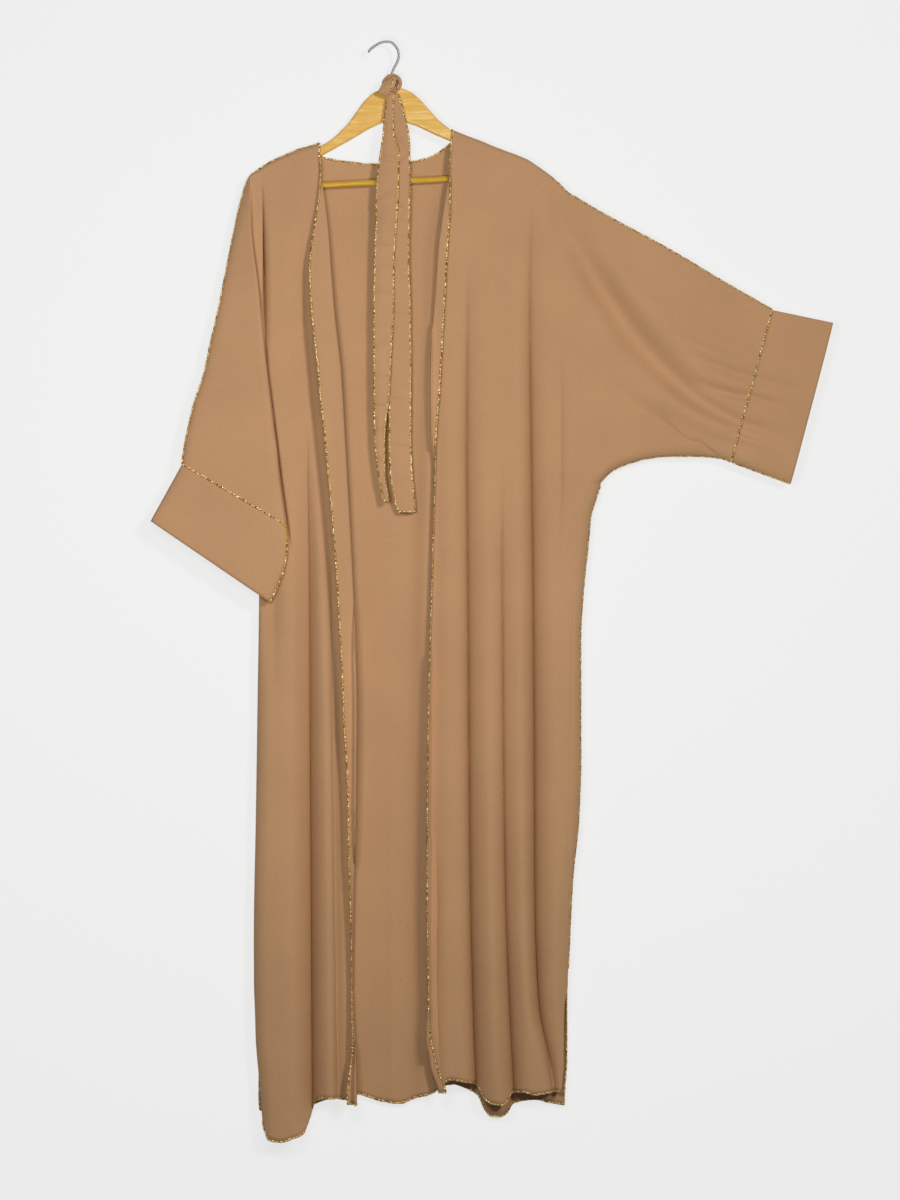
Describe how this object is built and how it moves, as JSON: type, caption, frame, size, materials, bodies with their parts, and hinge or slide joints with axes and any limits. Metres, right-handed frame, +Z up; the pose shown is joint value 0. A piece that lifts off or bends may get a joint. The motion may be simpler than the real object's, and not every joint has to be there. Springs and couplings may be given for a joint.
{
  "type": "kimono robe on a wooden clothes hanger",
  "caption": "Long open-front crepe robe with batwing sleeves and overlocked metallic edges, hung on a wooden hanger by its wire hook, its belt tied round the hook's neck.",
  "frame": {"origin": "inner top of the hook's bend, where a rail carries it", "axes": "+Z up, the garment's front faces -Y, +X towards the sleeve that is held out"},
  "size_m": [1.0216, 0.0641, 1.6488],
  "materials": {
    "crepe": "matt camel crepe with a fine puckered grain",
    "varnished_wood": "honey-coloured varnish",
    "hook_wire": "bright plated wire",
    "metallic_thread": "glittering metallic overlock thread"
  },
  "bodies": {
    "root": {"back": "crepe", "front_left": "crepe", "front_right": "crepe", "cuff_left": "crepe", "cuff_right": "crepe", "belt_loop": "crepe", "belt_wrap": "crepe", "belt_tail_front": "crepe", "belt_tail_back": "crepe", "hanger_wood": "varnished_wood", "hanger_bar": "varnished_wood", "hanger_hook": "hook_wire"}
  },
  "joints": []
}
